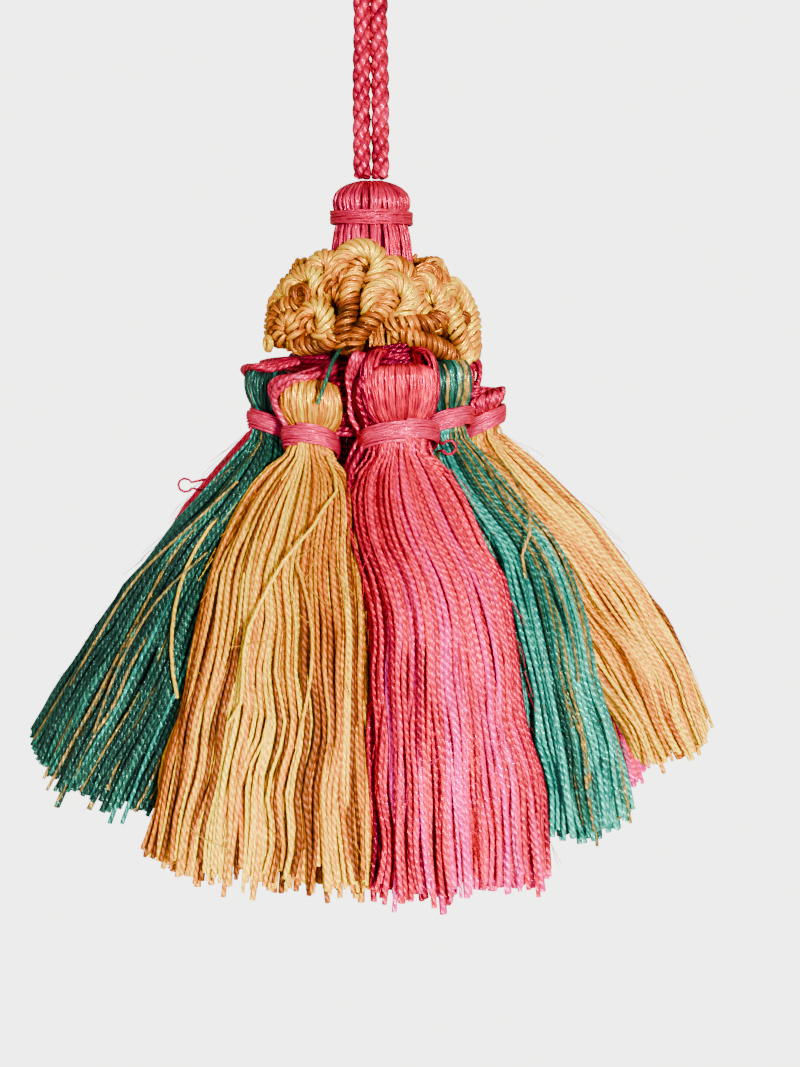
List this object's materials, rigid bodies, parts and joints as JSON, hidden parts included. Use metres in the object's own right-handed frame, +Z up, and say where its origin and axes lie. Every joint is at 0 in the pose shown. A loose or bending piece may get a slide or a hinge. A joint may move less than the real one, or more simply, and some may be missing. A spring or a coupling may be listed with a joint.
{
  "type": "key tassel",
  "caption": "Yarn key tassel: a doubled hanging cord, a wrapped head, a ruff of looped rope and a flared ring of small tassels in teal, gold and pink.",
  "frame": {"origin": "where a hook or knob bears, inside the top of the hanging loop", "axes": "+Z up, along the cord; the front faces -Y"},
  "size_m": [0.0901, 0.083, 0.1334],
  "materials": {
    "rose": "satin",
    "rope_gold": "silky",
    "teal": "satin",
    "gold": "satin",
    "pink": "satin"
  },
  "bodies": {
    "root": {"hanging_loop": "rose", "head": "rose", "head_band": "rose", "ruff": "rope_gold", "tassel_teal_left": "teal", "binding_teal_left": "rose", "tie_teal_left": "rose", "tassel_gold_left": "gold", "binding_gold_left": "rose", "tie_gold_left": "rose", "tassel_pink_front": "pink", "binding_pink_front": "rose", "tie_pink_front": "rose", "tassel_teal_right": "teal", "binding_teal_right": "rose", "tie_teal_right": "rose", "tassel_gold_right": "gold", "binding_gold_right": "rose", "tie_gold_right": "rose", "tassel_pink_right": "pink", "binding_pink_right": "rose", "tie_pink_right": "rose", "tassel_teal_back": "teal", "binding_teal_back": "rose", "tie_teal_back": "rose", "tassel_gold_back": "gold", "binding_gold_back": "rose", "tie_gold_back": "rose", "tassel_pink_left": "pink", "binding_pink_left": "rose", "tie_pink_left": "rose"}
  },
  "joints": []
}
